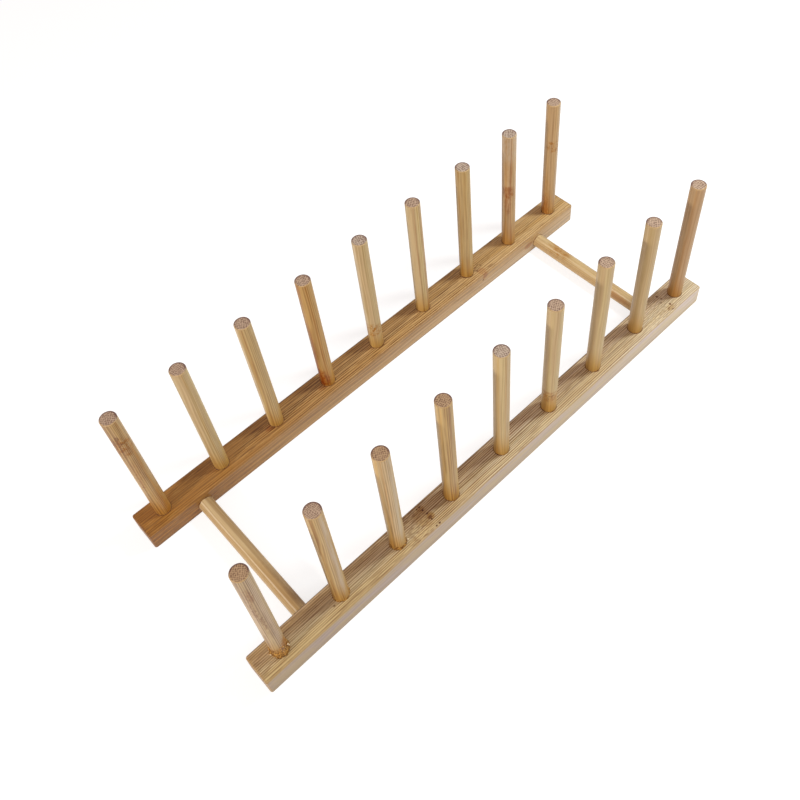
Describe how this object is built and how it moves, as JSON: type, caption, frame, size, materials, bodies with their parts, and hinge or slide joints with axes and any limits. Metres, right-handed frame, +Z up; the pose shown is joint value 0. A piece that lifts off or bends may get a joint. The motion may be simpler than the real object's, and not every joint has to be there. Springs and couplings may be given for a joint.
{
  "type": "dish rack",
  "caption": "Low bamboo plate rack: two parallel rails with rows of upright round pegs that hold plates on edge, tied by round cross dowels.",
  "frame": {"origin": "middle of the rack's footprint, on the surface that it stands on", "axes": "+X along the rails, towards peg 9; +Y from the front rail to the back rail; +Z up along the pegs"},
  "size_m": [0.3334, 0.12, 0.1045],
  "materials": {
    "rail_bamboo": "smooth sanded bamboo, satin",
    "peg_bamboo": "turned bamboo, satin, open end grain on top",
    "dowel_bamboo": "turned bamboo, satin"
  },
  "bodies": {
    "root": {"front_rail": "rail_bamboo", "back_rail": "rail_bamboo", "front_peg_1": "peg_bamboo", "front_peg_2": "peg_bamboo", "front_peg_3": "peg_bamboo", "front_peg_4": "peg_bamboo", "front_peg_5": "peg_bamboo", "front_peg_6": "peg_bamboo", "front_peg_7": "peg_bamboo", "front_peg_8": "peg_bamboo", "front_peg_9": "peg_bamboo", "back_peg_1": "peg_bamboo", "back_peg_2": "peg_bamboo", "back_peg_3": "peg_bamboo", "back_peg_4": "peg_bamboo", "back_peg_5": "peg_bamboo", "back_peg_6": "peg_bamboo", "back_peg_7": "peg_bamboo", "back_peg_8": "peg_bamboo", "back_peg_9": "peg_bamboo", "left_cross_dowel": "dowel_bamboo", "right_cross_dowel": "dowel_bamboo"}
  },
  "joints": []
}
